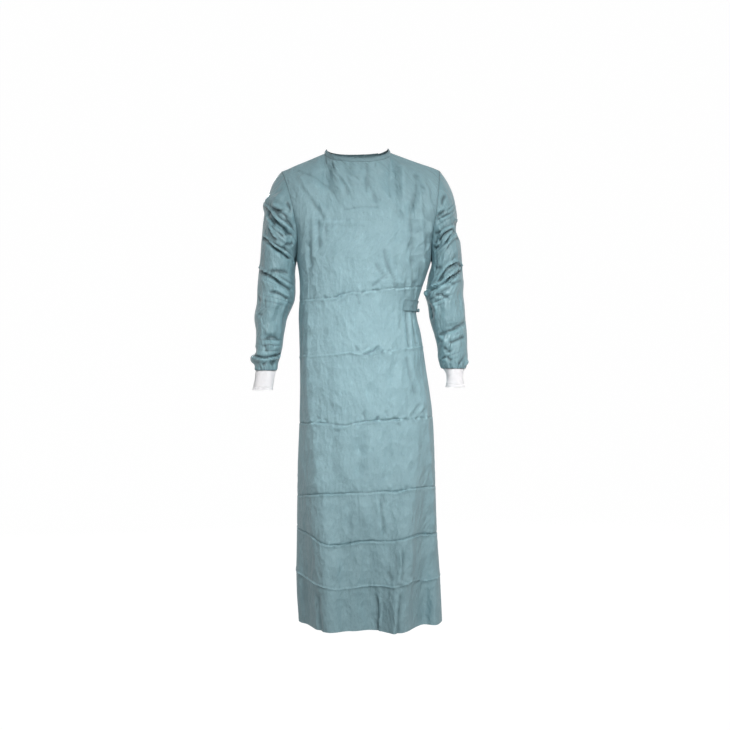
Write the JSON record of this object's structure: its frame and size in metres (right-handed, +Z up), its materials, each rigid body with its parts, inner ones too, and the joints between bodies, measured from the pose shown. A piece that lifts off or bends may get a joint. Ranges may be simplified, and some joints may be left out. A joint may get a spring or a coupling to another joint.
{
  "type": "surgical gown",
  "caption": "Long-sleeved wrap-around surgical gown as worn: nonwoven front, lapped back flaps, set-in sleeves with white rib-knit cuffs, standing neck binding and side-tied waist belt.",
  "frame": {"origin": "midway between the two side neck points, where the wearer's shoulders hold the gown", "axes": "+Z up, -Y to the wearer's front, +X to the wearer's left"},
  "size_m": [0.6087, 0.3914, 1.3431],
  "materials": {
    "nonwoven_cloth": "matt teal nonwoven with a fine embossed grain",
    "sleeve_cloth": "teal nonwoven with a soft satin sheen",
    "rib_knit": "white fine rib knit",
    "tie_cloth": "teal nonwoven, folded and stitched"
  },
  "bodies": {
    "root": {"front": "nonwoven_cloth", "back_right": "nonwoven_cloth", "back_left": "nonwoven_cloth", "sleeve_right": "sleeve_cloth", "sleeve_left": "sleeve_cloth", "cuff_right": "rib_knit", "cuff_left": "rib_knit", "neck_binding": "tie_cloth", "belt": "tie_cloth", "belt_knot": "tie_cloth"}
  },
  "joints": []
}
